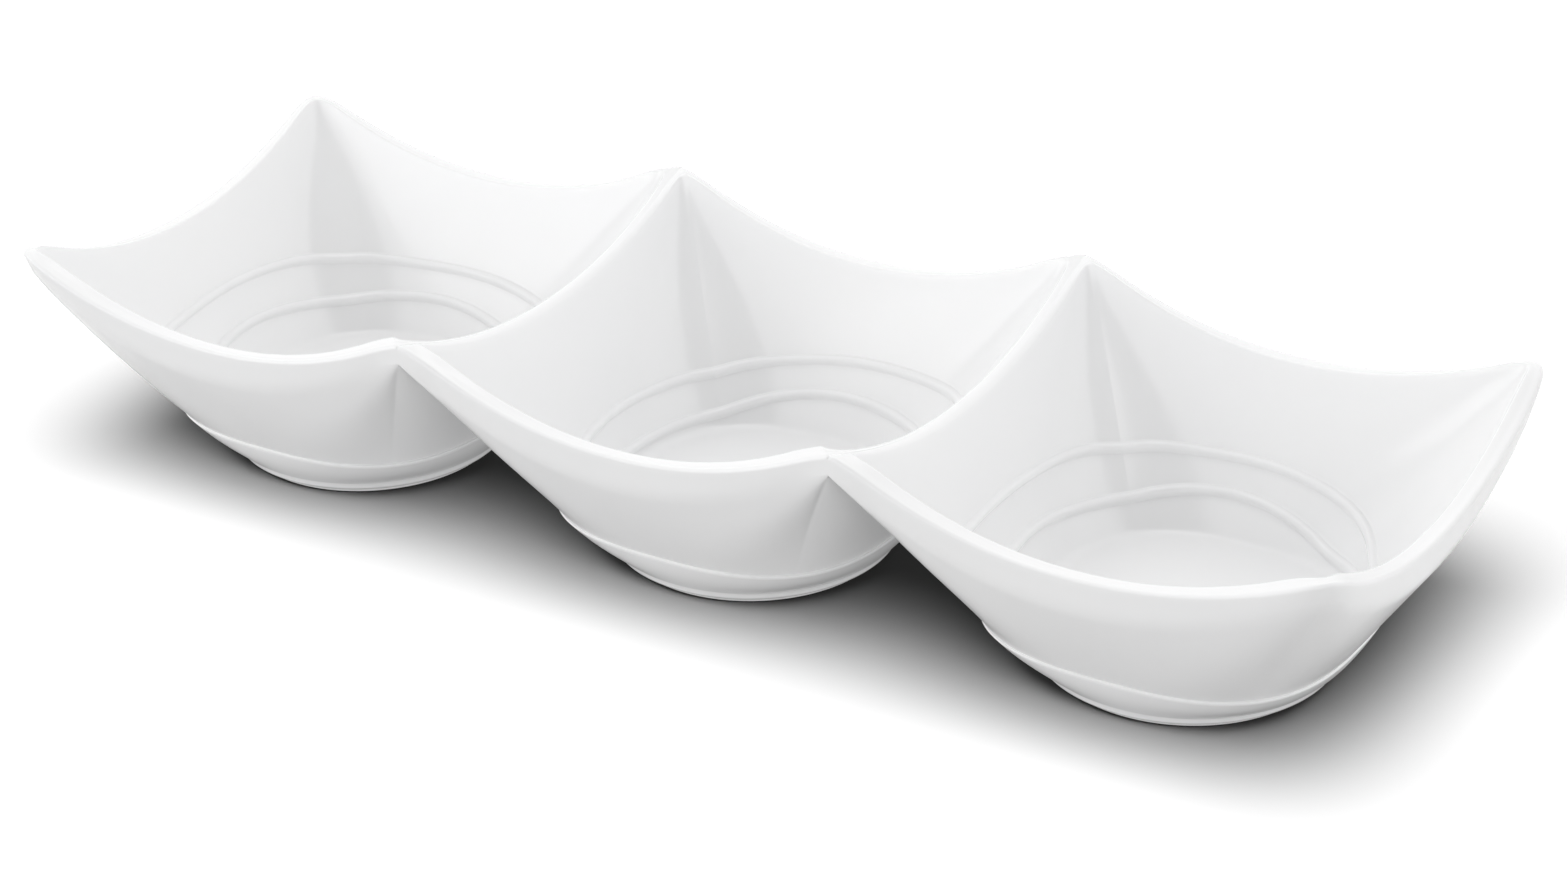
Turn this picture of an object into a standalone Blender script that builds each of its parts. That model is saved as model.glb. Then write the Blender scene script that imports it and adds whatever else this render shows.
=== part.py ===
"""Chip and dip server: three square-mouthed bowls moulded side by side in one row.

Each bowl is one closed body swept as a stack of level loops: from the middle of
its underside, out over the round foot, up the flared wall, over the rim, and back
down the inside to the flat floor. Neighbouring bowls face each other across a thin
gap at the crest of the ridge they share.

Metres, +Z up. The server stands on z = 0, centred on the origin, with its length
along X and its front towards -Y.
"""

import bpy
import numpy as np

# ---------------------------------------------------------------- overall sizes
PITCH = 0.125               # from the middle of one bowl to the middle of the next
DEPTH = 0.1315              # front lip to back lip
END_REACH = 0.0035          # how far an end lip stands beyond half a pitch
TIP_HEIGHT = 0.0695         # table to where two rims would meet without their rounding

# ---------------------------------------------------------------- rim
RIM_WIDTH = 0.0045          # across the rim, outside edge to inside edge
RIM_EDGE = 0.0012           # how far the rim's rounded edges drop below its top
RIM_CORNER = 0.0032         # plan radius outside a raised corner where bowls meet
RIM_CORNER_IN = 0.0016      # the same corner on the inside
END_CORNER = 0.0095         # plan radius outside one of the four outermost corners
END_CORNER_IN = 0.0030      # the same corner on the inside
SAG_LONG = 0.0165           # dip of the front and back rims below the corners
SAG_RIDGE = 0.0152          # dip of the ridges between bowls
SAG_END = 0.0179            # dip of the two end rims
SAG_POWER = 2.08            # shape of the dip, 2 being a parabola

# ---------------------------------------------------------------- outside wall
BAND_CORNER = 0.0050        # depth of the upright band under a raised corner
BAND_MIDDLE = 0.0090        # depth of the upright band halfway along a side
BAND_INSET = 0.0008         # how far the foot of that band is set in
CREASE_HEIGHT = 0.01625     # table to the crease low on the outside
CREASE_HALF = 0.0465        # bowl centre to the flat of the crease
CREASE_CORNER = 0.0365      # plan radius of the crease's corners
WALL_ROUNDING = 1.5         # how fast the wall's corners sharpen on the way up

# ---------------------------------------------------------------- foot
FOOT_RADIUS = 0.0346        # outside of the foot where it meets the table
FOOT_TRACK = 0.0036         # width of the flat ring it stands on
FOOT_EDGE = 0.0004          # small round at both edges of that ring
FOOT_HEIGHT = 0.0030        # height of the upright side of the foot
NECK_STEP = 0.0034          # how far the bowl's underside steps out above the foot
NECK_RISE = 0.0008          # how far it climbs over that step
RECESS_SETBACK = 0.0025     # from the foot's inner edge in to the flat of the recess

# ---------------------------------------------------------------- inside
FLOOR_HEIGHT = 0.01125      # table to the flat floor
FLOOR_THICKNESS = 0.0032
FLOOR_ROUND = 0.0016        # how far the round between floor and wall reaches
WALL_ACROSS = 0.0046        # wall measured level, beside the floor
WALL_TUCK = 0.0003          # how far the inside wall's top stands in from the rim
BEAD_RISE = 0.0007          # how far the moulded rings stand off the wall
BEAD_HALF = 0.0013          # half of a ring's width, measured in height

JOINT_GAP = 0.0003          # between neighbouring bowls

# ---------------------------------------------------------------- sizes that follow
NECK_RADIUS = FOOT_RADIUS + NECK_STEP
NECK_HEIGHT = FOOT_HEIGHT + NECK_RISE
RECESS_RADIUS = FOOT_RADIUS - FOOT_TRACK - RECESS_SETBACK
RECESS_HEIGHT = FLOOR_HEIGHT - FLOOR_THICKNESS
BOWL_DEPTH = TIP_HEIGHT - FLOOR_HEIGHT
CLIMB = (FLOOR_HEIGHT - NECK_HEIGHT) / (CREASE_HEIGHT - NECK_HEIGHT)
FLOOR_RADIUS = NECK_RADIUS + CLIMB * (CREASE_HALF - NECK_RADIUS) - WALL_ACROSS

# The two moulded rings inside each bowl run like ripples, leaning and slightly oval.
# Each is its mean height, its lean and the bearing of its high side in degrees from
# +X, then the size and bearing of its oval part. Heights are shares of the bowl's depth.
RINGS = {
    "left_bowl": ((0.270, 0.083, 169.0, 0.010, 50.0), (0.128, 0.042, 151.0, 0.017, 137.0)),
    "middle_bowl": ((0.251, 0.066, 33.0, 0.017, 96.0), (0.121, 0.059, 12.0, 0.017, 102.0)),
    "right_bowl": ((0.249, 0.108, 180.0, 0.035, 89.0), (0.121, 0.040, 174.0, 0.021, 127.0)),
}

SIDE_STEPS = 8              # mesh steps along one straight side
CORNER_STEPS = 6            # mesh steps round one corner


def rounded_square(x_minus, x_plus, y_half, r_minus, r_plus):
    """Loop of plan points round a square with rounded corners, anticlockwise from +X.

    x_minus and x_plus are how far it reaches each way along X, and r_minus and
    r_plus are the radii of the two corners at each of those ends.
    """
    size = np.array([[x_plus, y_half], [-x_minus, y_half], [-x_minus, -y_half], [x_plus, -y_half]])
    radius = np.array([r_plus, r_minus, r_minus, r_plus])
    pivot = size - np.sign(size) * radius[:, None]
    pieces = []
    for corner in range(4):
        angle = 0.5 * np.pi * corner
        out = np.array([np.cos(angle), np.sin(angle)])
        start = pivot[corner - 1] + radius[corner - 1] * out
        stop = pivot[corner] + radius[corner] * out
        t = np.linspace(0.0, 1.0, SIDE_STEPS + 1)[:-1, None]
        pieces.append(start + (stop - start) * t)
        turn = angle + np.linspace(0.0, 0.5 * np.pi, CORNER_STEPS + 1)[:-1]
        way = np.stack([np.cos(turn), np.sin(turn)], axis=1)
        pieces.append(pivot[corner] + radius[corner] * way)
    return np.concatenate(pieces)


def mix(a, b, t):
    """Straight blend from a to b."""
    return a + (b - a) * t


CREASE_LOOP = rounded_square(CREASE_HALF, CREASE_HALF, CREASE_HALF, CREASE_CORNER, CREASE_CORNER)
LOOP_ANGLE = np.arctan2(CREASE_LOOP[:, 1], CREASE_LOOP[:, 0])


def disc(radius):
    """Round loop with its points on the same bearings as the crease's."""
    return radius * np.stack([np.cos(LOOP_ANGLE), np.sin(LOOP_ANGLE)], axis=1)


def ring_height(ring):
    """Height of one moulded ring at every point of the loop."""
    mean, lean, lean_way, oval, oval_way = ring
    tilt = lean * np.cos(LOOP_ANGLE - np.radians(lean_way))
    wave = oval * np.cos(2.0 * (LOOP_ANGLE - np.radians(oval_way)))
    return FLOOR_HEIGHT + BOWL_DEPTH * (mean + tilt + wave)


def bowl_rows(joint_minus, joint_plus, rings):
    """All the loops of one bowl, in order, plus the two poles that close it."""
    face = 0.5 * (PITCH - JOINT_GAP)
    free = 0.5 * PITCH + END_REACH
    x_minus = face if joint_minus else free
    x_plus = face if joint_plus else free
    y_half = 0.5 * DEPTH
    half_ridge = 0.5 * (RIM_WIDTH - JOINT_GAP)
    in_minus = x_minus - (half_ridge if joint_minus else RIM_WIDTH)
    in_plus = x_plus - (half_ridge if joint_plus else RIM_WIDTH)
    in_y = y_half - RIM_WIDTH

    r_minus = RIM_CORNER if joint_minus else END_CORNER
    r_plus = RIM_CORNER if joint_plus else END_CORNER
    in_r_minus = RIM_CORNER_IN if joint_minus else END_CORNER_IN
    in_r_plus = RIM_CORNER_IN if joint_plus else END_CORNER_IN

    outer = rounded_square(x_minus, x_plus, y_half, r_minus, r_plus)
    inner = rounded_square(in_minus, in_plus, in_y, in_r_minus, in_r_plus)
    x_reach = np.where(outer[:, 0] > 0.0, x_plus, x_minus)
    across_x = np.abs(outer[:, 0]) / x_reach
    across_y = np.abs(outer[:, 1]) / y_half
    on_side = across_x > across_y
    towards_joint = np.where(outer[:, 0] > 0.0, joint_plus, joint_minus)
    on_joint = on_side & towards_joint.astype(bool)
    run = np.minimum(across_x, across_y)

    sag = np.where(on_side, np.where(on_joint, SAG_RIDGE, SAG_END), SAG_LONG)
    rim = TIP_HEIGHT - sag * (1.0 - run ** SAG_POWER)
    band = BAND_CORNER + (BAND_MIDDLE - BAND_CORNER) * (1.0 - run ** 2)
    band = np.where(on_joint, BAND_CORNER, band)

    rows = []

    def add(plan, height):
        level = np.broadcast_to(height, LOOP_ANGLE.shape)
        rows.append(np.column_stack([plan, level]))

    # underside and foot
    track_in = FOOT_RADIUS - FOOT_TRACK
    add(disc(RECESS_RADIUS), RECESS_HEIGHT)
    add(disc(track_in - FOOT_EDGE), FOOT_EDGE)
    add(disc(track_in), 0.0)
    add(disc(FOOT_RADIUS - FOOT_EDGE), 0.0)
    add(disc(FOOT_RADIUS), FOOT_EDGE)
    add(disc(FOOT_RADIUS), FOOT_HEIGHT)
    add(disc(NECK_RADIUS), NECK_HEIGHT)

    # crease, then the flared outside wall up to the foot of the band
    add(CREASE_LOOP, CREASE_HEIGHT)
    set_in = np.array([0.0 if joint_minus else BAND_INSET, 0.0 if joint_plus else BAND_INSET])
    for t in (0.2, 0.45, 0.72, 1.0):
        sharp = 1.0 - (1.0 - t) ** WALL_ROUNDING
        plan = rounded_square(
            mix(CREASE_HALF, x_minus - set_in[0], t),
            mix(CREASE_HALF, x_plus - set_in[1], t),
            mix(CREASE_HALF, y_half - BAND_INSET, t),
            mix(CREASE_CORNER, r_minus, sharp),
            mix(CREASE_CORNER, r_plus, sharp),
        )
        add(plan, mix(CREASE_HEIGHT, rim - band, t))

    # band and rim: a free rim is rounded on both edges, a ridge only on the inside
    for t in (0.0, 0.16, 0.5, 0.84, 1.0):
        both = RIM_EDGE * np.abs(2.0 * t - 1.0) ** 2.5
        one = RIM_EDGE * t ** 2.5
        add(mix(outer, inner, t), rim - np.where(on_joint, one, both))

    # inside wall, with the two moulded rings standing off it
    in_top = rim - band
    tucked = rounded_square(
        in_minus - WALL_TUCK, in_plus - WALL_TUCK, in_y - WALL_TUCK, in_r_minus, in_r_plus
    )

    def inside(height):
        """Plan of the inside wall at a height given for every point of the loop."""
        t = (height - FLOOR_HEIGHT) / (in_top - FLOOR_HEIGHT)
        return mix(disc(FLOOR_RADIUS), tucked, t[:, None])

    add(inside(in_top), in_top)
    high = ring_height(rings[0])
    lowest = FLOOR_HEIGHT + FLOOR_ROUND + 1.2 * BEAD_HALF
    low = np.maximum(ring_height(rings[1]), lowest)
    add(inside(mix(high, in_top, 0.5)), mix(high, in_top, 0.5))
    for level in (high, low):
        add(inside(level + BEAD_HALF), level + BEAD_HALF)
        wall = inside(level)
        inward = 1.0 - BEAD_RISE / np.linalg.norm(wall, axis=1)[:, None]
        add(wall * inward, level + 0.5 * BEAD_RISE)
        add(inside(level - BEAD_HALF), level - BEAD_HALF)

    # round into the flat floor
    round_top = np.full(LOOP_ANGLE.shape, FLOOR_HEIGHT + FLOOR_ROUND)
    add(inside(round_top), round_top)
    add(disc(FLOOR_RADIUS - 0.6 * FLOOR_ROUND), FLOOR_HEIGHT + 0.2 * FLOOR_ROUND)
    add(disc(FLOOR_RADIUS - 2.0 * FLOOR_ROUND), FLOOR_HEIGHT)
    return rows


def build_bowl(name, column, joint_minus, joint_plus, material, collection):
    """One bowl as a closed mesh object, its place in the row given by column."""
    rows = bowl_rows(joint_minus, joint_plus, RINGS[name])
    count = len(LOOP_ANGLE)
    points = np.concatenate(rows)
    poles = np.array([[0.0, 0.0, RECESS_HEIGHT], [0.0, 0.0, FLOOR_HEIGHT]])
    points = np.concatenate([points, poles])
    points[:, 0] += column * PITCH

    here = np.arange(count)
    after = (here + 1) % count
    faces = []
    for row in range(len(rows) - 1):
        a = row * count
        b = a + count
        faces += np.stack([a + here, a + after, b + after, b + here], axis=1).tolist()
    last = (len(rows) - 1) * count
    under, over = len(points) - 2, len(points) - 1
    faces += np.stack([after, here, np.full(count, under)], axis=1).tolist()
    faces += np.stack([last + here, last + after, np.full(count, over)], axis=1).tolist()

    mesh = bpy.data.meshes.new(name)
    mesh.from_pydata(points.tolist(), [], faces)
    mesh.materials.append(material)
    mesh.polygons.foreach_set("use_smooth", np.zeros(len(mesh.polygons), dtype=bool))
    mesh.update()
    item = bpy.data.objects.new(name, mesh)
    collection.objects.link(item)
    return item


def main():
    for item in list(bpy.data.objects):
        bpy.data.objects.remove(item, do_unlink=True)

    parts = bpy.data.collections.new("chip_and_dip_server")
    bpy.context.scene.collection.children.link(parts)

    glaze = bpy.data.materials.new("white_gloss")
    glaze.use_nodes = True
    shader = glaze.node_tree.nodes["Principled BSDF"]
    shader.inputs["Base Color"].default_value = (0.89, 0.89, 0.90, 1.0)
    shader.inputs["Roughness"].default_value = 0.16

    build_bowl("left_bowl", -1, False, True, glaze, parts)
    build_bowl("middle_bowl", 0, True, True, glaze, parts)
    build_bowl("right_bowl", 1, True, False, glaze, parts)


main()
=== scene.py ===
# %% [markdown]
# # A chip and dip server, moulded in one piece
#
# Three square-mouthed bowls stand side by side in one row. The real server is a single
# seamless moulding in hard white tableware plastic, polished to a soft gloss. This lesson
# works the whole surface out with numpy, one zone at a time, welds the three bowls into
# one skin, and then lights it the way a catalogue would.

import bpy
import numpy as np
from mathutils import Matrix, Vector


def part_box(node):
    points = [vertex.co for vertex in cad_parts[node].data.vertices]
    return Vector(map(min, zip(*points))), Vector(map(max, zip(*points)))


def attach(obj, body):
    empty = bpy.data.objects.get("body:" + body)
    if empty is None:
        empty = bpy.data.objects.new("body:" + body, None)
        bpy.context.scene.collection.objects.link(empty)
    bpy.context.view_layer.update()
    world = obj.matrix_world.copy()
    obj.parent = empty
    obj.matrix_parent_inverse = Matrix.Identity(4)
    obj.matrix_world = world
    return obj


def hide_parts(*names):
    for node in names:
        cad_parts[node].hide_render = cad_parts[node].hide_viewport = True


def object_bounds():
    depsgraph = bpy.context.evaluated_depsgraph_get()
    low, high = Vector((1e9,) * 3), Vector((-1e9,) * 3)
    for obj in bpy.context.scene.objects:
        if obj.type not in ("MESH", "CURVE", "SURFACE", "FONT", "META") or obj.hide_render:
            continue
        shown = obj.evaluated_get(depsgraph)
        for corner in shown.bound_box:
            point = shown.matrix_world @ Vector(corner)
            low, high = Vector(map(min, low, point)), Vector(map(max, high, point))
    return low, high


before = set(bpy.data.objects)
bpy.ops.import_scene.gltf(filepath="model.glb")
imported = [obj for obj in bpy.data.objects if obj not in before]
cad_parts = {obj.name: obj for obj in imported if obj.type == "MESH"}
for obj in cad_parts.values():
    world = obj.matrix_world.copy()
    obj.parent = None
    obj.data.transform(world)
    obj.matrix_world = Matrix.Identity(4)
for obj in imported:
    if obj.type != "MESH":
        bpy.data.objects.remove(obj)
cad_low, cad_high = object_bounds()
print("frame box", [round(c, 4) for c in cad_low], [round(c, 4) for c in cad_high])

# %% [markdown]
# ## Sizes that come from the frame
#
# The frame holds three bowls with a hair of clearance between them. The real moulding has
# no such gap, so each joint plane is put halfway across it. The distance between the two
# planes is the pitch of the row, and the boxes of the bowls give every outside reach.

# %% Pitch, depth and reach
_, left_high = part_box("left_bowl")
middle_low, middle_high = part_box("middle_bowl")
right_low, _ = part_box("right_bowl")
left_joint = 0.5 * (left_high[0] + middle_low[0])
right_joint = 0.5 * (middle_high[0] + right_low[0])
PITCH = right_joint - left_joint
HALF_PITCH = 0.5 * PITCH
HALF_DEPTH = middle_high[1]
END_REACH = cad_high[0] - PITCH
print(f"pitch {PITCH:.4f}  half depth {HALF_DEPTH:.5f}  end reach {END_REACH:.4f}")

# %% [markdown]
# ## Sizes of the moulding
#
# The lip sags between raised corners, an upright band runs under it, the wall flares down
# to a crease low on the outside, and a plain round foot carries each bowl. Lengths are in
# metres. They stand together here because every zone of the surface shares some of them,
# so that one change moves lip, band and wall alike. The fades say over what length a
# ridge, a groove or the band's inset grows as it leaves a corner, and the sharpening
# powers say how late a round corner turns into a tight one on the way up.

# %% Rim, band, wall, crease and foot
TIP_HEIGHT = 0.0700
TIP_ROUND = 0.0046
RIM_WIDTH = 0.0045
LIP_ROUND, LIP_LEAN = 0.0009, np.radians(64.0)
RIDGE_ARC = 0.89
JOINT_CORNER, JOINT_CORNER_IN = 0.0, 0.0024
END_CORNER, END_CORNER_IN = 0.0095, 0.0030
SAG_LONG, SAG_RIDGE, SAG_END, SAG_POWER = 0.0165, 0.0152, 0.0179, 2.08
BAND_CORNER, BAND_MIDDLE, BAND_INSET = 0.0050, 0.0090, 0.0008
CREASE_HEIGHT, CREASE_HALF, CREASE_CORNER = 0.01625, 0.0465, 0.0345
LEDGE, LEDGE_RISE = 0.00035, 1.15
FOOT_RADIUS, FOOT_TRACK, FOOT_HEIGHT, FOOT_EDGE = 0.0346, 0.0036, 0.0013, 0.0004
NECK_RADIUS, NECK_HEIGHT = 0.0382, 0.0040
RECESS_RADIUS, RECESS_HEIGHT = 0.0285, 0.00805
FLOOR_HEIGHT, FLOOR_HALF, FLOOR_CORNER, FLOOR_ROUND = 0.01125, 0.0385, 0.0300, 0.0013
FLOOR_ROUND_REACH = 2.2
WALL_BOW, CONE_BOW, LIP_HOLLOW, BAND_SOFTNESS = 0.42, 0.0010, 0.00012, 0.0012
RIDGE_FADE, GROOVE_FADE, INSET_FADE = 0.012, 0.022, 0.010
GROOVE_SPAN, GROOVE_DIP = 0.2, 0.5
END_SHARPENING, JOINT_SHARPENING, INSIDE_SHARPENING = 1.1, 1.5, 2.2
NO_RADIUS, NO_SOFTNESS, SAME_SPOT = 1e-6, 1e-9, 1e-7
BOWL_DEPTH = TIP_HEIGHT - FLOOR_HEIGHT
print(f"a bowl is {1000 * BOWL_DEPTH:.1f} mm deep at its corners")

# %% [markdown]
# ## One loop, many shapes
#
# Every level of a bowl is a loop round it: a circle at the foot, a square with soft
# corners at the crease, and a square with tight corners at the lip. Each column of the
# grid keeps one bearing from the middle of its bowl, and a level says how far out it is on
# that bearing. There is a column through every corner of the lip, and the others bunch up
# towards the corners, where the surface turns.

# %% The columns of the grid
SIDE_STEPS, BUNCHING = 50, 0.82
COLUMNS = 4 * SIDE_STEPS


def column_bearings(minus, plus):
    """Bearings of the columns, from the corner in front on the right, turning left.

    minus and plus are how far the bowl reaches each way along X. Between two corners the
    share of the way is u - k sin(2 pi u) / (2 pi), with k the bunching.
    """
    right, left = np.arctan2(HALF_DEPTH, plus), np.pi - np.arctan2(HALF_DEPTH, minus)
    corners = np.array([-right, right, left, 2.0 * np.pi - left, 2.0 * np.pi - right])
    u = np.arange(SIDE_STEPS) / SIDE_STEPS
    share = u - BUNCHING * np.sin(2.0 * np.pi * u) / (2.0 * np.pi)
    return (corners[:4, None] + np.diff(corners)[:, None] * share).ravel()


print("columns in a loop:", COLUMNS)

# %% [markdown]
# ## Blends and the rounded square
#
# The real corners are nowhere sharp, and they change from round to tight between the
# crease and the lip. Bevels on a mesh would round each edge by one amount. Here a corner is
# a number that can differ at every height, so a few small formulas for blending, and one
# for the outline of a rounded square, are all that the walls need.


# %% Blends and the rounded square
def mix(a, b, t):
    """Straight blend: a where t is 0, b where t is 1."""
    return a + (b - a) * t


def soft_min(a, b, width):
    """The lower of a and b, with the corner where they cross rounded over that width.

    Near the crossing a parabola of depth width / 4 takes the place of the corner.
    """
    h = np.clip(0.5 + 0.5 * (b - a) / width, 0.0, 1.0)
    return mix(b, a, h) - width * h * (1.0 - h)


def soft_step(t):
    """Eases from 0 to 1 as t does: 3 t squared less 2 t cubed."""
    t = np.clip(t, 0.0, 1.0)
    return t * t * (3.0 - 2.0 * t)


def distance(bearing, minus, plus, half, r_minus, r_plus):
    """How far out a rounded square is on each bearing.

    The square reaches minus and plus along X and half along Y. Its corners are rounded by
    a superellipse, (x / reach)^n + (y / half)^n = 1, with n chosen so that the diagonal is
    where a corner radius r would put it: n = ln 2 / -ln(1 - (1 - sqrt(1/2)) r / half).
    With no radius at all it is the plain square.
    """
    side = np.cos(bearing) > 0.0
    x = np.abs(np.cos(bearing)) / np.where(side, plus, minus)
    y = np.abs(np.sin(bearing)) / half
    radius = np.where(side, r_plus, r_minus)
    longer, shorter = np.maximum(x, y), np.minimum(x, y)
    cut = (1.0 - np.sqrt(0.5)) * np.maximum(radius, NO_RADIUS) / half
    n = np.log(2.0) / -np.log(1.0 - cut)
    rounding = np.where(radius > NO_RADIUS, (1.0 + (shorter / longer) ** n) ** (-1.0 / n), 1.0)
    return rounding / longer


outlines = (("crease", CREASE_HALF, CREASE_CORNER), ("floor", FLOOR_HALF, FLOOR_CORNER))
for name, half, radius in outlines:
    diagonal = distance(np.pi / 4.0, half, half, half, radius, radius)
    print(f"{name}: {1000 * half:.1f} mm square on, {1000 * diagonal:.1f} mm on the diagonal")

# %% [markdown]
# ## Which way each bowl meets its neighbours
#
# The left bowl has a neighbour on its right, the middle bowl has one on both sides. Where
# two bowls meet they share a rounded ridge, and where a bowl ends it has a full flat lip.
# The facts of a bowl are arrays with a value for each column: which columns lie on a joint,
# how high the rim is there, how deep the band, and how much of a ridge or a groove it is.


# %% The facts of one bowl
def bowl_facts(joint_minus, joint_plus):
    """Reaches, corner radii, rim height and band depth of one bowl, per column."""
    minus = HALF_PITCH if joint_minus else END_REACH
    plus = HALF_PITCH if joint_plus else END_REACH
    r_minus = JOINT_CORNER if joint_minus else END_CORNER
    r_plus = JOINT_CORNER if joint_plus else END_CORNER
    in_minus = minus - RIM_WIDTH * (0.5 if joint_minus else 1.0)
    in_plus = plus - RIM_WIDTH * (0.5 if joint_plus else 1.0)
    in_r_minus = JOINT_CORNER_IN if joint_minus else END_CORNER_IN
    in_r_plus = JOINT_CORNER_IN if joint_plus else END_CORNER_IN

    bearing = column_bearings(minus, plus)
    away = np.stack([np.cos(bearing), np.sin(bearing)], -1)
    outer = away * distance(bearing, minus, plus, HALF_DEPTH, r_minus, r_plus)[:, None]
    inner_half = HALF_DEPTH - RIM_WIDTH
    inner_out = distance(bearing, in_minus, in_plus, inner_half, in_r_minus, in_r_plus)
    inner = away * inner_out[:, None]

    right_half = outer[:, 0] > 0.0
    across_x = np.abs(outer[:, 0]) / np.where(right_half, plus, minus)
    across_y = np.abs(outer[:, 1]) / HALF_DEPTH
    joined = np.where(right_half, joint_plus, joint_minus)
    joint = (joined & (across_x > 1.0 - NO_RADIUS)).astype(float)
    side_sag = np.where(joined, SAG_RIDGE, SAG_END)
    side_rim = TIP_HEIGHT - side_sag * (1.0 - across_y**SAG_POWER)
    long_rim = TIP_HEIGHT - SAG_LONG * (1.0 - across_x**SAG_POWER)
    rim = soft_min(side_rim, long_rim, TIP_ROUND)
    run = np.minimum(across_x, across_y)
    band = mix(mix(BAND_MIDDLE, BAND_CORNER, run**2), BAND_CORNER, joint)

    from_end = (1.0 - across_y) * HALF_DEPTH
    from_side = (1.0 - across_x) * HALF_PITCH
    edge_turn = 1.0 - np.clip(from_end / LIP_ROUND, 0.0, 1.0)
    edge = 1.0 - joint * np.sqrt(1.0 - edge_turn**2)
    ridge = joint * soft_step(from_end / RIDGE_FADE)
    groove = joint * soft_step(from_end / GROOVE_FADE)
    inset = np.where(joined, soft_step(from_side / INSET_FADE), 1.0)
    lip_drop = LIP_ROUND * (1.0 - np.cos(LIP_LEAN))
    ridge_drop = 0.5 * RIM_WIDTH * (1.0 - np.sqrt(1.0 - RIDGE_ARC**2))
    lip_foot = rim - mix(lip_drop, ridge_drop, ridge)
    return dict(
        bearing=bearing, away=away, edge=edge, ridge=ridge, groove=groove, inset=inset,
        minus=minus, plus=plus, r_minus=r_minus, r_plus=r_plus,
        in_minus=in_minus, in_plus=in_plus, in_r_minus=in_r_minus, in_r_plus=in_r_plus,
        joint_minus=joint_minus, joint_plus=joint_plus,
        outer=outer, inner=inner, rim=rim, band=band, lip_foot=lip_foot,
    )


facts = bowl_facts(False, True)
print("rim runs from", round(facts["rim"].min(), 4), "to", round(facts["rim"].max(), 4))

# %% [markdown]
# ## Underneath
#
# Below the crease the bowl is turned work: a shallow recess in the middle, a low foot ring
# with small rounded edges that stands on the table, a rounded neck above it, and a cone
# that widens to the crease. Spin could turn the foot but not the cone, because the foot is
# a circle and the crease a rounded square. So the cone is a loft from one to the other,
# bowed out a little, and it ends in a tiny rounded step that draws the crease as a line.


# %% Recess, foot, neck and cone
def grid(plan, height):
    """Puts a plan of rows by columns, or of one row, and its heights together as points."""
    plan = plan if plan.ndim == 3 else plan[None]
    height = np.broadcast_to(height, plan.shape[:2])
    return np.concatenate([plan, height[..., None]], axis=-1)


def turned(f, radii, heights):
    """Circles of the given radii at the given heights."""
    radii = np.asarray(radii)
    return grid(radii[:, None, None] * f["away"], np.asarray(heights)[:, None])


def underside(f):
    """Profile of the turned part: recess, its eased side, two quarter turns, round neck."""
    track_in = FOOT_RADIUS - FOOT_TRACK
    ease = np.linspace(0.0, 1.0, 8)
    cove_r = mix(RECESS_RADIUS, track_in - FOOT_EDGE, ease)
    cove_z = mix(RECESS_HEIGHT, FOOT_EDGE, soft_step(ease))
    quarter = np.linspace(0.0, 0.5 * np.pi, 4)
    in_r = track_in - FOOT_EDGE * (1.0 - np.sin(quarter[1:]))
    in_z = FOOT_EDGE * np.cos(quarter[1:])
    out_r = FOOT_RADIUS - FOOT_EDGE * (1.0 - np.sin(quarter))
    out_z = FOOT_EDGE * (1.0 - np.cos(quarter))
    swing = 0.5 * np.pi * np.linspace(0.0, 1.0, 6)
    neck_r = mix(FOOT_RADIUS, NECK_RADIUS, np.sin(swing))
    neck_z = mix(FOOT_HEIGHT, NECK_HEIGHT, 1.0 - np.cos(swing))
    flat_r = np.array([0.35, 0.7, 0.92]) * RECESS_RADIUS
    flat_z = np.full(len(flat_r), RECESS_HEIGHT)
    radii = np.concatenate([flat_r, cove_r, in_r, out_r, neck_r])
    heights = np.concatenate([flat_z, cove_z, in_z, out_z, neck_z])
    return turned(f, radii, heights)


def cone(f):
    """Loft from the neck circle up to the crease, bowed out, ending in a small rounded step.

    The bow is half a sine wave. The step is a quarter of an ellipse that stands LEDGE
    outside the foot of the wall.
    """
    t = np.linspace(0.0, 1.0, 12)[1:, None]
    half, corner = CREASE_HALF, CREASE_CORNER
    crease = distance(f["bearing"], half, half, half, corner, corner)
    crease_loop = crease[:, None] * f["away"]
    ledge_loop = crease_loop * (1.0 + LEDGE / CREASE_HALF)
    plan = mix(NECK_RADIUS * f["away"], ledge_loop, t[..., None])
    bow = 1.0 + CONE_BOW / CREASE_HALF * np.sin(np.pi * t)
    body = grid(plan * bow[..., None], mix(NECK_HEIGHT, CREASE_HEIGHT - LEDGE, t))
    turn = np.linspace(0.0, 0.5 * np.pi, 6)[1:, None]
    step = crease_loop * (1.0 + LEDGE / CREASE_HALF * np.cos(turn))[..., None]
    step_z = CREASE_HEIGHT - LEDGE * (1.0 - LEDGE_RISE * np.sin(turn))
    return np.concatenate([body, grid(step, step_z)])


print("rows underneath:", len(underside(facts)) + len(cone(facts)))

# %% [markdown]
# ## The flared wall and its band
#
# From the crease the wall flares up to the foot of the band. Its corners start as round as
# the crease's and sharpen on the way. The band is nearly upright, so wall and band are
# two straight lines in section, joined by a soft corner: the softened lower of two lines
# gives that without a bevel. Where two bowls meet, their walls share a rounded groove
# under the ridge instead, so there the wall dips as it arrives.


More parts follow.
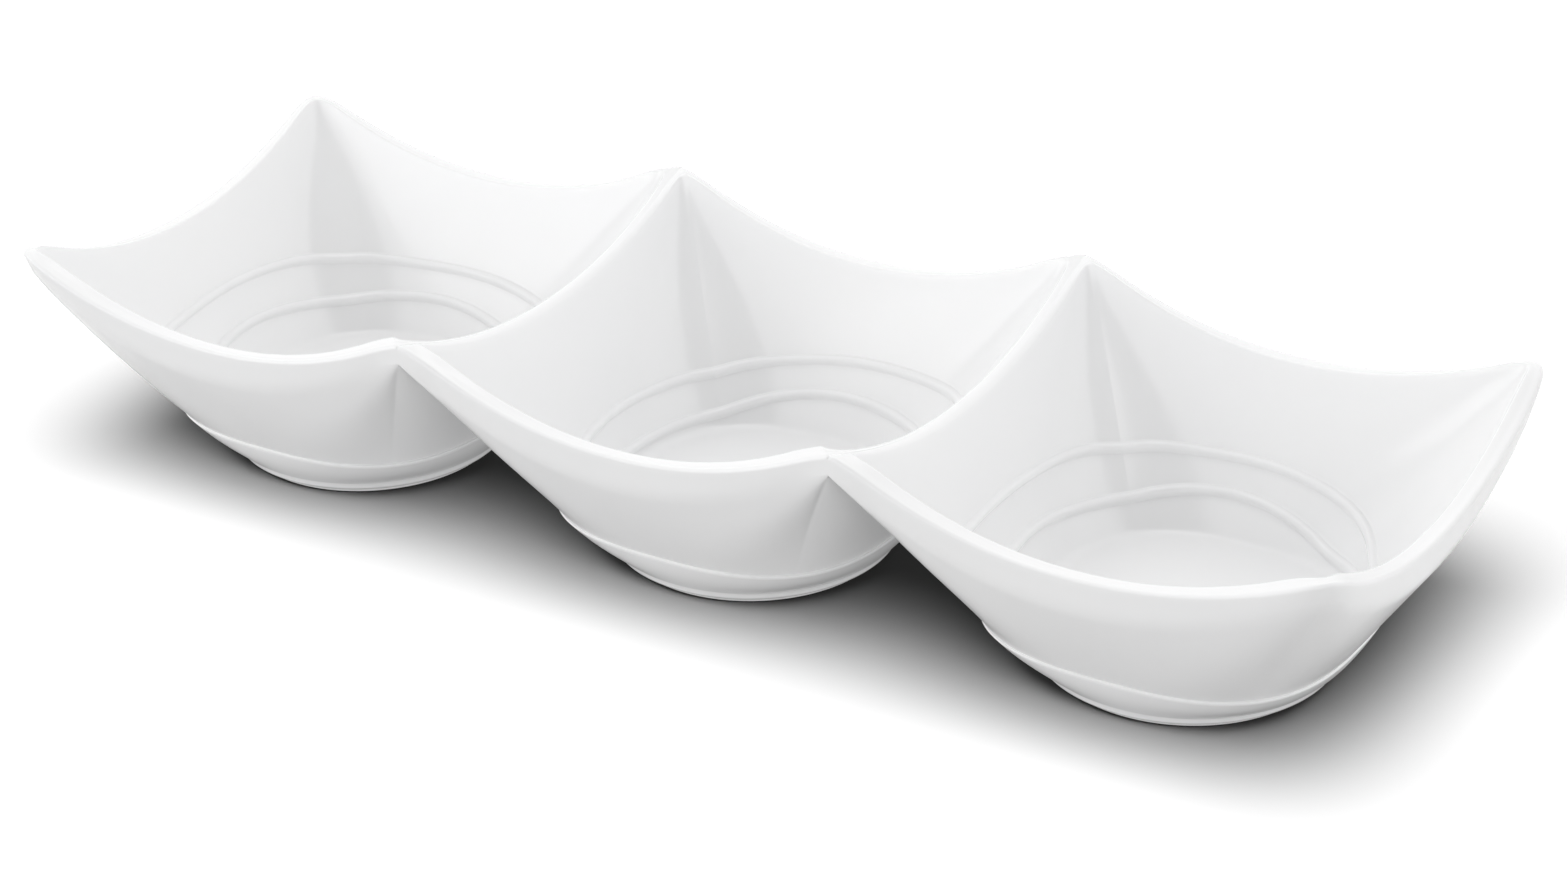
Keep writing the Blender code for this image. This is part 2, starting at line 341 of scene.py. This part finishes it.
# %% Wall and band
def outside_wall(f):
    """Sections of wall then band: reach is the softened lower of the two lines."""
    band_foot = f["rim"] - f["band"]
    climb = band_foot - CREASE_HEIGHT
    near_crease, near_band = [0.012, 0.03, 0.06, 0.1], np.linspace(0.84, 1.0, 6)
    wall_t = np.concatenate([near_crease, np.linspace(0.16, 0.8, 13), near_band])[:, None]
    band_v = np.linspace(0.0, 1.0, 8)[1:, None]
    band_top = f["band"] - LIP_ROUND * f["edge"]

    wall_z = CREASE_HEIGHT + climb * wall_t
    band_z = band_foot + band_top * band_v
    nearness = np.clip(1.0 - (1.0 - wall_t) / GROOVE_SPAN, 0.0, 1.0)
    wall_z = wall_z - f["groove"] * climb * GROOVE_SPAN * GROOVE_DIP * nearness**2
    band_z = band_z - f["groove"] * climb * GROOVE_SPAN * GROOVE_DIP * (1.0 - band_v)

    t = np.concatenate([wall_t * np.ones(COLUMNS), 1.0 + band_top * band_v / climb])
    height = np.concatenate([wall_z, band_z])
    above = np.concatenate([climb * (wall_t - 1.0), band_top * band_v]) / band_top

    def reach(size, joined):
        """How far out the side is: the lower of the flare and the band's own line."""
        inset = 0.0 if joined else BAND_INSET * f["inset"]
        wall = mix(CREASE_HALF, size - inset, t)
        upright = size - inset * (1.0 - above)
        softness = 0.0 if joined else BAND_SOFTNESS * f["inset"]
        return soft_min(wall, upright, np.maximum(softness, NO_SOFTNESS))

    up = np.clip(t, 0.0, 1.0)
    end_corner, joint_corner = up**END_SHARPENING, up**JOINT_SHARPENING
    out = distance(
        f["bearing"],
        reach(f["minus"], f["joint_minus"]),
        reach(f["plus"], f["joint_plus"]),
        reach(HALF_DEPTH, False),
        mix(CREASE_CORNER, f["r_minus"], joint_corner if f["joint_minus"] else end_corner),
        mix(CREASE_CORNER, f["r_plus"], joint_corner if f["joint_plus"] else end_corner),
    )
    return grid(out[..., None] * f["away"], height)


print("rows of wall and band:", len(outside_wall(facts)))

# %% [markdown]
# ## The lip
#
# A free lip is a strip with rounded edges: a quarter turn outside, a barely hollow flat,
# and a turn inside that stops where it meets the slope of the wall. A shared ridge is one
# rounded crest, of which each bowl owns half. A bevel couldn't change from one to the
# other along its length. So both are given as a share of the way across the rim and a
# drop below its top. The ridge weight blends them round the corner, and the edge weight
# takes the outer turn away where there is a neighbour instead of an outside.


# %% Lip section
def lip(f):
    """Share across and drop, blended from a free lip to half a ridge by the ridge weight."""
    turn = np.linspace(0.0, 0.5 * np.pi, 7)
    flat = np.linspace(0.0, 1.0, 6)[1:-1]
    bend = np.linspace(0.0, LIP_LEAN, 7)
    edge = LIP_ROUND / RIM_WIDTH
    start, stop = edge, 1.0 - edge * np.sin(LIP_LEAN)
    outer_turn, inner_turn = edge * (1.0 - np.cos(turn)), stop + edge * np.sin(bend)
    across = np.concatenate([outer_turn, mix(start, stop, flat), inner_turn])
    hollow = LIP_HOLLOW * np.sin(np.pi * flat) ** 2
    outer_drop, inner_drop = LIP_ROUND * (1.0 - np.sin(turn)), LIP_ROUND * (1.0 - np.cos(bend))
    drop = np.concatenate([outer_drop, hollow, inner_drop])
    u = np.linspace(0.0, 1.0, len(across))
    crest = 0.5 * RIM_WIDTH * (1.0 - np.sqrt(1.0 - (RIDGE_ARC * u) ** 2))
    edgeless = np.where(u < 0.5, 0.0, drop)
    fall = mix(edgeless[:, None], drop[:, None], f["edge"])
    share = mix(across[:, None], u[:, None], f["ridge"])
    fall = mix(fall, crest[:, None], f["ridge"])
    return grid(mix(f["outer"], f["inner"], share[..., None]), f["rim"] - fall)


print("rows across the lip:", len(lip(facts)))

# %% [markdown]
# ## The rings inside
#
# Two thin raised rings run round the inside of every bowl, one above the other, like the
# ripples that a drop leaves. They aren't level: each leans to one side and waves a little,
# and no two bowls have the same ones. Curves with a bevel could be laid on the wall, but
# they would be loose pieces pushed into it. Here a ring is only a height at every bearing,
# its mean plus a few waves round the bowl, and the wall itself rises along that height.

# %% Ring paths, in millimetres and degrees
RINGS = {
    "left": (
        (27.0, (4.6, 177), (0.5, 74), (0.5, 90), (1.1, 78)),
        (17.3, (2.6, 141), (1.6, 140), (0.3, 68), (1.7, 2)),
    ),
    "middle": (
        (25.7, (4.9, 35), (0.3, 118), (0.7, 52), (1.3, 3)),
        (17.3, (2.9, 16), (1.4, 93), (0.9, 98), (1.1, 89)),
    ),
    "right": (
        (25.3, (7.5, 183), (2.6, 97), (1.6, 78), (0.7, 72)),
        (17.1, (2.5, 160), (1.8, 132), (0.6, 88), (1.8, 3)),
    ),
}
BEAD_HALF, BEAD_RISE = 0.00125, 0.00115
RING_CLEARANCE, RING_SOFTNESS = 1.3, 0.0012


def ring_height(f, ring):
    """Mean plus size times cosine of wave count times bearing from the crest, per column."""
    mean, *waves = ring
    count = np.arange(1, len(waves) + 1)[:, None]
    size = np.array([w[0] for w in waves])[:, None]
    crest = np.radians([w[1] for w in waves])[:, None]
    height = 0.001 * (mean + np.sum(size * np.cos(count * (f["bearing"] - crest)), axis=0))
    lowest = FLOOR_HEIGHT + FLOOR_ROUND + RING_CLEARANCE * BEAD_HALF
    return -soft_min(-height, np.full(COLUMNS, -lowest), RING_SOFTNESS)


left_upper = ring_height(facts, RINGS["left"][0])
print("left bowl's upper ring in mm:", np.round(1000 * left_upper[::25], 1))

# %% [markdown]
# ## The inside wall
#
# Inside, the wall is a loft from the outline of the floor to the inside edge of the lip,
# bowed so that it is steeper near the top. Its corners stay round low down and turn tight
# only under the lip, which is later than outside, so that the wall keeps its thickness.
# Each ring stands off that wall the way the wall faces, so it keeps the same section all
# the way round. A parabola gives the ring crisp borders.


# %% Inside wall with its rings
def inside_plan(f, height):
    """Plan of the bare inside wall at the heights given for rows by columns."""
    climb = (height - FLOOR_HEIGHT) / (f["lip_foot"] - FLOOR_HEIGHT)
    share = climb + WALL_BOW * climb * (1.0 - climb)
    out = distance(
        f["bearing"],
        mix(FLOOR_HALF, f["in_minus"], share),
        mix(FLOOR_HALF, f["in_plus"], share),
        mix(FLOOR_HALF, HALF_DEPTH - RIM_WIDTH, share),
        mix(FLOOR_CORNER, f["in_r_minus"], share**INSIDE_SHARPENING),
        mix(FLOOR_CORNER, f["in_r_plus"], share**INSIDE_SHARPENING),
    )
    return out[..., None] * f["away"]


def wall_outwards(f, height):
    """Direction that the wall faces: the cross product of its two tangents, made unit."""
    step = 0.0004
    above = grid(inside_plan(f, height + step), height + step)
    below = grid(inside_plan(f, height - step), height - step)
    up = above - below
    here = grid(inside_plan(f, height), height)
    round_about = np.roll(here, -1, axis=1) - np.roll(here, 1, axis=1)
    facing = np.cross(up, round_about)
    return facing / np.linalg.norm(facing, axis=-1, keepdims=True)


def inside_wall(f, rings):
    """Rows from the lip down: wall, upper ring, wall, lower ring, wall."""
    top = f["lip_foot"]
    high, low = ring_height(f, rings[0]), ring_height(f, rings[1])
    foot = np.full(COLUMNS, FLOOR_HEIGHT + FLOOR_ROUND)
    bead_top = np.array([1.12, 1.0, 0.86, 0.66, 0.4, 0.14])
    bead = np.concatenate([bead_top, -bead_top[::-1]])[:, None]
    near = 1.2 * BEAD_HALF
    first = mix(top, high + near, np.linspace(0.0, 1.0, 24)[1:-1, None])
    second = mix(high - near, low + near, np.linspace(0.0, 1.0, 7)[1:-1, None])
    third = mix(low - near, foot, np.linspace(0.0, 1.0, 4)[1:, None])
    upper, lower = high + BEAD_HALF * bead, low + BEAD_HALF * bead
    height = np.concatenate([first, upper, second, lower, third])
    rise = np.zeros(len(height))
    swell = np.clip(1.0 - bead[:, 0] ** 2, 0.0, 1.0) * BEAD_RISE
    rise[len(first) : len(first) + len(bead)] = swell
    rise[-len(third) - len(bead) : -len(third)] = swell
    points = grid(inside_plan(f, height), height)
    return points + rise[:, None, None] * wall_outwards(f, height)


print("rows of inside wall:", len(inside_wall(facts, RINGS["left"])))

# %% [markdown]
# ## The floor of a bowl
#
# The floor is flat, with an outline that is a rounded square like the crease below it. A
# small round joins it to the wall. A bevel would need the corner first. This is a curve
# with one control point on the corner that the round replaces, worked out for all the
# columns at once, and it reaches further over the floor than up the wall.


# %% Floor round and floor
def floor_rows(f):
    """Round from wall to floor, (1-s)^2 wall + 2s(1-s) corner + s^2 floor, then the flat."""
    foot = np.full((1, COLUMNS), FLOOR_HEIGHT + FLOOR_ROUND)
    start = grid(inside_plan(f, foot), foot)
    floor_loop = inside_plan(f, np.full(COLUMNS, FLOOR_HEIGHT))
    corner = grid(floor_loop, FLOOR_HEIGHT)
    shortened = 1.0 - FLOOR_ROUND_REACH * FLOOR_ROUND / FLOOR_HALF
    stop = grid(floor_loop * shortened, FLOOR_HEIGHT)
    s = np.linspace(0.0, 1.0, 7)[1:, None, None]
    bend = (1.0 - s) ** 2 * start + 2.0 * s * (1.0 - s) * corner + s**2 * stop
    shrink = np.array([0.9, 0.75, 0.55, 0.32, 0.12])[:, None, None]
    return np.concatenate([bend, grid(shrink * floor_loop[None], FLOOR_HEIGHT)])


print("rows of floor:", len(floor_rows(facts)))

# %% [markdown]
# ## From loops to one skin
#
# A bowl is its rows stacked up, with a pole in the middle of the recess and one in the
# middle of the floor. Squares join each row to the next and triangles close the poles.
# The faces that lie in a joint plane would end up buried between two bowls, so they are
# left out, and points of neighbouring bowls that fall on the same spot become one. What
# is left is a single closed skin.


# %% One bowl as points and faces
def bowl_skin(rings, joint_minus, joint_plus, place):
    """Points and faces of one bowl, moved along the row to its place."""
    f = bowl_facts(joint_minus, joint_plus)
    outside = np.concatenate([underside(f), cone(f), outside_wall(f)])
    inside = np.concatenate([inside_wall(f, rings), floor_rows(f)])
    rows = np.concatenate([outside, lip(f)[1:], inside])
    count = len(rows)
    points = rows.reshape(-1, 3)
    poles = np.array([[0.0, 0.0, RECESS_HEIGHT], [0.0, 0.0, FLOOR_HEIGHT]])
    points = np.concatenate([points, poles])

    here = np.arange(COLUMNS)
    after = (here + 1) % COLUMNS
    lower = COLUMNS * np.arange(count - 1)[:, None]
    upper = lower + COLUMNS
    quads = np.stack([lower + here, lower + after, upper + after, upper + here], axis=-1)
    quads = quads.reshape(-1, 4)
    last = COLUMNS * (count - 1)
    under, over = len(points) - 2, len(points) - 1
    fan_under = np.stack([after, here, np.full(COLUMNS, under)], axis=1)
    fan_over = np.stack([last + here, last + after, np.full(COLUMNS, over)], axis=1)

    for side, joined in ((-HALF_PITCH, joint_minus), (HALF_PITCH, joint_plus)):
        if joined:
            in_plane = np.abs(points[:, 0] - side) < SAME_SPOT
            quads = quads[~in_plane[quads].all(axis=1)]
    points = points + np.array([place * PITCH, 0.0, 0.0])
    return points, quads, np.concatenate([fan_under, fan_over])


middle_alone = bowl_skin(RINGS["middle"], True, True, 0)
print("the middle bowl alone:", len(middle_alone[0]), "points,", len(middle_alone[1]), "squares")

# %% [markdown]
# ## The weld
#
# The real server came out of one mould, so no line may show where bowls meet. Merge by
# Distance would do the weld in Blender. Rounding the coordinates and keeping one of each
# does the same in numpy, and then every edge can be counted: in a closed skin each one
# belongs to exactly two faces.

# %% The three bowls welded
skins = [
    bowl_skin(RINGS["left"], False, True, -1),
    bowl_skin(RINGS["middle"], True, True, 0),
    bowl_skin(RINGS["right"], True, False, 1),
]
starts = np.cumsum([0] + [len(s[0]) for s in skins])
points = np.concatenate([s[0] for s in skins])
quads = np.concatenate([s[1] + start for s, start in zip(skins, starts)])
fans = np.concatenate([s[2] + start for s, start in zip(skins, starts)])

spots = np.round(points / SAME_SPOT).astype(np.int64)
_, first, index = np.unique(spots, axis=0, return_index=True, return_inverse=True)
index = index.ravel()
points, quads, fans = points[first], index[quads], index[fans]


def face_edges(faces):
    """Both ends of every edge of the faces, the lower point number first."""
    ends = np.stack([faces, np.roll(faces, -1, axis=1)], axis=-1).reshape(-1, 2)
    return np.sort(ends, axis=1)


edges = np.concatenate([face_edges(quads), face_edges(fans)])
uses = np.unique(edges, axis=0, return_counts=True)[1]
print("points", len(points), "triangles", 2 * len(quads) + len(fans))
print("edges not shared by two faces:", int((uses != 2).sum()))

# %% [markdown]
# ## Into Blender
#
# The arrays go into a mesh in one step each with foreach_set, which is far quicker than
# adding faces one by one. The object stays at the origin, unturned and unscaled, so that
# a pattern on its Object coordinates stays where it is.


# %% Arrays into a mesh
def mesh_object(name, points, quads, fans, material):
    """A smooth mesh object at the origin from arrays of points, squares and triangles."""
    mesh = bpy.data.meshes.new(name)
    corners = np.concatenate([quads.ravel(), fans.ravel()])
    sizes = np.concatenate([np.full(len(quads), 4), np.full(len(fans), 3)])
    mesh.vertices.add(len(points))
    mesh.vertices.foreach_set("co", points.astype(np.float32).ravel())
    mesh.loops.add(len(corners))
    mesh.loops.foreach_set("vertex_index", corners.astype(np.int32))
    mesh.polygons.add(len(sizes))
    mesh.polygons.foreach_set("loop_start", (np.cumsum(sizes) - sizes).astype(np.int32))
    mesh.update(calc_edges=True)
    mesh.validate()
    mesh.shade_smooth()
    mesh.materials.append(material)
    thing = bpy.data.objects.new(name, mesh)
    bpy.context.scene.collection.objects.link(thing)
    return thing


print("corners to hand over:", quads.size + fans.size)

# %% [markdown]
# ## White gloss
#
# The plastic is white right through, with a polish that isn't quite a mirror. Close to, it
# has the faintest orange peel, a slow waviness from the mould, and cloudy patches where
# the polish is a touch softer. The foot rings are scuffed dull by tables, and their colour
# is greyed as painted shade for the table's contact shadow. Everything that is the same all
# over is set on the shader itself, and only these variations are nodes.


# %% A small kit for nodes
def new_material(name):
    """A node material with nothing in it yet, and its tree."""
    material = bpy.data.materials.new(name)
    material.use_nodes = True
    tree = material.node_tree
    tree.nodes.clear()
    return material, tree


def noise(tree, coordinates, scale, detail, roughness=0.5):
    """Noise of that many cells to the metre."""
    node = tree.nodes.new("ShaderNodeTexNoise")
    node.inputs["Scale"].default_value = scale
    node.inputs["Detail"].default_value = detail
    node.inputs["Roughness"].default_value = roughness
    tree.links.new(coordinates, node.inputs["Vector"])
    return node.outputs["Fac"]


def spread(tree, value, low, high, to_low, to_high):
    """Maps low..high of a value onto to_low..to_high and stops at both ends."""
    node = tree.nodes.new("ShaderNodeMapRange")
    ends = {"From Min": low, "From Max": high, "To Min": to_low, "To Max": to_high}
    for name, number in ends.items():
        node.inputs[name].default_value = number
    tree.links.new(value, node.inputs["Value"])
    return node.outputs["Result"]


def principled(name):
    """A new material whose Principled shader already feeds its output."""
    material, tree = new_material(name)
    out = tree.nodes.new("ShaderNodeOutputMaterial")
    shader = tree.nodes.new("ShaderNodeBsdfPrincipled")
    tree.links.new(shader.outputs["BSDF"], out.inputs["Surface"])
    return material, tree, shader


NOISE_LOW, NOISE_HIGH = 0.3, 0.7
print("noise is read between", NOISE_LOW, "and", NOISE_HIGH)

# %% [markdown]
# ## Tone, polish and relief
#
# A moulding is never one flat white. Its tone drifts over centimetres, and the foot ring is
# greyed as painted shade where it stands, in place of the table's contact shadow. The polish
# varies in patches a centimetre or so across. The relief is two bumps, one slow and one
# fine, and the shape itself stays in the mesh.

# %% Sizes of the finish
WHITE_COOL, WHITE_WARM = (0.925, 0.927, 0.932, 1.0), (0.942, 0.942, 0.943, 1.0)
# Painted shade: the foot ring's colour turns to this grey near the table, standing in for its
# contact shadow
FOOT_PAINTED_SHADE = (0.80, 0.80, 0.80, 1.0)
FULL_SHADE_BELOW, NO_SHADE_ABOVE = 0.0020, 0.0032
POLISH_BEST, POLISH_WORST, SCUFF, SCUFF_TOP = 0.16, 0.22, 0.22, 0.0005
WAVE_DEPTH, PEEL_DEPTH = 0.00004, 0.000004
PLASTIC_IOR = 1.62


def blend_colours(tree, factor, colour_a, colour_b):
    """A colour mix; a colour is given as four numbers or as another node's output."""
    node = tree.nodes.new("ShaderNodeMix")
    node.data_type = "RGBA"
    for socket, colour in (("A", colour_a), ("B", colour_b)):
        if isinstance(colour, tuple):
            node.inputs[socket].default_value = colour
        else:
            tree.links.new(colour, node.inputs[socket])
    tree.links.new(factor, node.inputs["Factor"])
    return node.outputs["Result"]


def bump(tree, height, depth, below=None):
    """A bump of that depth in metres, on top of another one if there is one below."""
    node = tree.nodes.new("ShaderNodeBump")
    node.inputs["Strength"].default_value = 1.0
    node.inputs["Distance"].default_value = depth
    tree.links.new(height, node.inputs["Height"])
    if below is not None:
        tree.links.new(below, node.inputs["Normal"])
    return node.outputs["Normal"]


print(f"roughness {POLISH_BEST} to {POLISH_WORST}, up to {SCUFF} more under the foot")


# %% The gloss itself
def white_gloss():
    """White plastic: Principled with drifting tone, painted foot shade, cloudy polish, fine
    relief.
    """
    material, tree, shader = principled("white_gloss_moulding")
    shader.inputs["IOR"].default_value = PLASTIC_IOR
    place = tree.nodes.new("ShaderNodeTexCoord").outputs["Object"]
    split = tree.nodes.new("ShaderNodeSeparateXYZ")
    tree.links.new(place, split.inputs["Vector"])
    height = split.outputs["Z"]

    drift = spread(tree, noise(tree, place, 14.0, 3.0), NOISE_LOW, NOISE_HIGH, 0.0, 1.0)
    tone = blend_colours(tree, drift, WHITE_COOL, WHITE_WARM)
    # Painted shade: the base colour greys towards the bottom of the foot ring, in place of the
    # table's contact shadow
    unshaded = spread(tree, height, FULL_SHADE_BELOW, NO_SHADE_ABOVE, 0.0, 1.0)
    tree.links.new(blend_colours(tree, unshaded, FOOT_PAINTED_SHADE, tone), shader.inputs["Base Color"])

    worn = spread(tree, height, 0.0, SCUFF_TOP, SCUFF, 0.0)
    patches = noise(tree, place, 60.0, 4.0, 0.6)
    cloudy = spread(tree, patches, NOISE_LOW, NOISE_HIGH, POLISH_BEST, POLISH_WORST)
    rough = tree.nodes.new("ShaderNodeMath")
    rough.operation = "ADD"
    tree.links.new(worn, rough.inputs[0])
    tree.links.new(cloudy, rough.inputs[1])
    tree.links.new(rough.outputs["Value"], shader.inputs["Roughness"])

    slow = bump(tree, noise(tree, place, 55.0, 1.0), WAVE_DEPTH)
    peel = bump(tree, noise(tree, place, 900.0, 2.0), PEEL_DEPTH, below=slow)
    tree.links.new(peel, shader.inputs["Normal"])
    return material


gloss = white_gloss()
server = mesh_object("server_body", points, quads, fans, gloss)
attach(server, "root")
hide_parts("left_bowl", "middle_bowl", "right_bowl")
print("server_body has", len(server.data.polygons), "faces")

# %% [markdown]
# ## Floor and light
#
# The server stands on a white sweep that is brighter than the server and throws no light
# back up at it. One set of lights can't give both, so the sweep is dark board with a
# strong lamp of its own, and diffuse rays don't see it. Light linking keeps that lamp off
# the server, though the server still casts its shadow.


# %% White floor
def floor_material():
    """Matt board without any gloss, dark enough to need its own lamp."""
    material, tree, shader = principled("white_sweep")
    shader.inputs["Roughness"].default_value = 0.6
    shader.inputs["Specular IOR Level"].default_value = 0.0
    shader.inputs["Base Color"].default_value = (0.04, 0.04, 0.04, 1.0)
    return material


SWEEP_HALF = 4.0
sweep_corners = np.array([[-1.0, -1.0, 0.0], [1.0, -1.0, 0.0], [1.0, 1.0, 0.0], [-1.0, 1.0, 0.0]])
one_square, no_triangles = np.array([[0, 1, 2, 3]]), np.zeros((0, 3), dtype=int)
board = floor_material()
sweep = mesh_object("sweep", SWEEP_HALF * sweep_corners, one_square, no_triangles, board)
sweep.visible_diffuse = False
print("sweep is", 2.0 * SWEEP_HALF, "m wide")

# %% [markdown]
# ## The dome
#
# A white object has only its surroundings to show its shape. A pale dome lights it from
# all round and grows dimmer towards the ground, which shades the outer walls downwards.
# A round dark patch high on the near side gives the soft darker wedges in the far corners.
# A gradient on the world does this without any card that could get into view.

# %% Where the dome is dark
PATCH_AZIMUTH, PATCH_ELEVATION = np.radians(31.0), np.radians(52.0)
PATCH_EDGE, PATCH_CORE = np.radians(30.0), np.radians(26.0)
GROUND_LEVEL, SKY_LEVEL, SKY_FROM = 0.22, 1.15, 0.4


def dome():
    """World light: it climbs from the ground to the sky level, and is nothing in the patch."""
    world = bpy.data.worlds.new("studio_dome")
    bpy.context.scene.world = world
    world.use_nodes = True
    tree = world.node_tree
    tree.nodes.clear()
    out = tree.nodes.new("ShaderNodeOutputWorld")
    back = tree.nodes.new("ShaderNodeBackground")
    tree.links.new(back.outputs["Background"], out.inputs["Surface"])
    way = tree.nodes.new("ShaderNodeTexCoord").outputs["Generated"]
    aim = tree.nodes.new("ShaderNodeVectorMath")
    aim.operation = "DOT_PRODUCT"
    aim.inputs[1].default_value = (
        np.sin(PATCH_AZIMUTH) * np.cos(PATCH_ELEVATION),
        -np.cos(PATCH_AZIMUTH) * np.cos(PATCH_ELEVATION),
        np.sin(PATCH_ELEVATION),
    )
    tree.links.new(way, aim.inputs[0])
    patch = spread(tree, aim.outputs["Value"], np.cos(PATCH_EDGE), np.cos(PATCH_CORE), 1.0, 0.0)
    split = tree.nodes.new("ShaderNodeSeparateXYZ")
    tree.links.new(way, split.inputs["Vector"])
    climb = spread(tree, split.outputs["Z"], -1.0, SKY_FROM, GROUND_LEVEL, SKY_LEVEL)
    level = tree.nodes.new("ShaderNodeMath")
    level.operation = "MULTIPLY"
    tree.links.new(patch, level.inputs[0])
    tree.links.new(climb, level.inputs[1])
    tree.links.new(level.outputs["Value"], back.inputs["Strength"])
    back.inputs["Color"].default_value = (1.0, 1.0, 1.0, 1.0)


dome()
print("dome level from", GROUND_LEVEL, "below to", SKY_LEVEL, "above")

# %% [markdown]
# ## Softboxes and the sweep's own sun
#
# Three weak softboxes put the highlights on the lips: one overhead, and one low on each
# side in front. The sweep is lit by a very broad sun from above and behind, which throws
# the soft shadow forward. Light linking names the sweep as the only thing it lights.


# %% Softboxes
def softbox(name, place, target, width, height, power):
    """A rectangular area light at place, facing target."""
    data = bpy.data.lights.new(name, "AREA")
    data.shape = "RECTANGLE"
    data.size, data.size_y = width, height
    data.energy = power
    lamp = bpy.data.objects.new(name, data)
    lamp.location = place
    lamp.rotation_euler = (Vector(target) - Vector(place)).to_track_quat("-Z", "Y").to_euler()
    bpy.context.scene.collection.objects.link(lamp)
    lamp.visible_camera = False
    return lamp


boxes = [
    softbox("overhead_softbox", (-0.05, 0.10, 1.0), (0.0, 0.0, 0.0), 0.5, 0.3, power=0.5),
    softbox("front_left_softbox", (-0.60, -0.55, 0.25), (-0.10, 0.0, 0.03), 0.5, 0.4, power=0.85),
    softbox("front_right_softbox", (0.58, -0.58, 0.12), (0.05, 0.0, 0.03), 0.5, 0.3, power=0.45),
]
print("softboxes:", [box.name for box in boxes])

# %% The sweep's own sun
sun = bpy.data.lights.new("table_sun", "SUN")
sun.energy = 92.0
sun.angle = np.radians(50.0)
table_sun = bpy.data.objects.new("table_sun", sun)
table_sun.rotation_euler = Vector((-0.20, 0.42, -1.0)).to_track_quat("-Z", "Y").to_euler()
table_sun.visible_glossy = False
bpy.context.scene.collection.objects.link(table_sun)
only_sweep = bpy.data.collections.new("lit_by_table_sun")
only_sweep.objects.link(sweep)
table_sun.light_linking.receiver_collection = only_sweep

# %% [markdown]
# ## Camera
#
# The view is from the front right, a little above: 27 degrees down, 32 degrees round,
# through a long lens about a metre away, with the camera rolled by a degree and a half.
# A Track To constraint would aim it but not roll it, so its three axes are worked out.


# %% Camera
def camera(target, azimuth, elevation, roll, stand_off, lens):
    """Camera that far from the target, looking at it, then rolled about its axis."""
    a, e, r = np.radians([azimuth, elevation, roll])
    forward = np.array([-np.sin(a) * np.cos(e), np.cos(a) * np.cos(e), -np.sin(e)])
    level = np.array([np.cos(a), np.sin(a), 0.0])
    upward = np.cross(level, forward)
    across = np.cos(r) * level + np.sin(r) * upward
    upright = -np.sin(r) * level + np.cos(r) * upward
    data = bpy.data.cameras.new("camera")
    data.sensor_width = 36.0
    data.lens = lens
    view = bpy.data.objects.new("camera", data)
    turn = Matrix([across, upright, -forward]).transposed().to_4x4()
    view.matrix_world = Matrix.Translation(Vector(np.array(target) - forward * stand_off)) @ turn
    bpy.context.scene.collection.objects.link(view)
    bpy.context.scene.camera = view
    return view


view = camera(
    target=(-0.02275, 0.05125, 0.0),
    azimuth=32.07, elevation=26.94, roll=-1.54, stand_off=1.024, lens=85.118,
)
print("camera at", [round(c, 4) for c in view.location])
print("camera turned", [round(c, 4) for c in view.rotation_euler])
bpy.context.scene.view_settings.view_transform = "Standard"
bpy.context.scene.view_settings.look = "None"
bpy.context.scene.view_settings.exposure = 0.0
bpy.context.scene.view_settings.gamma = 1.0
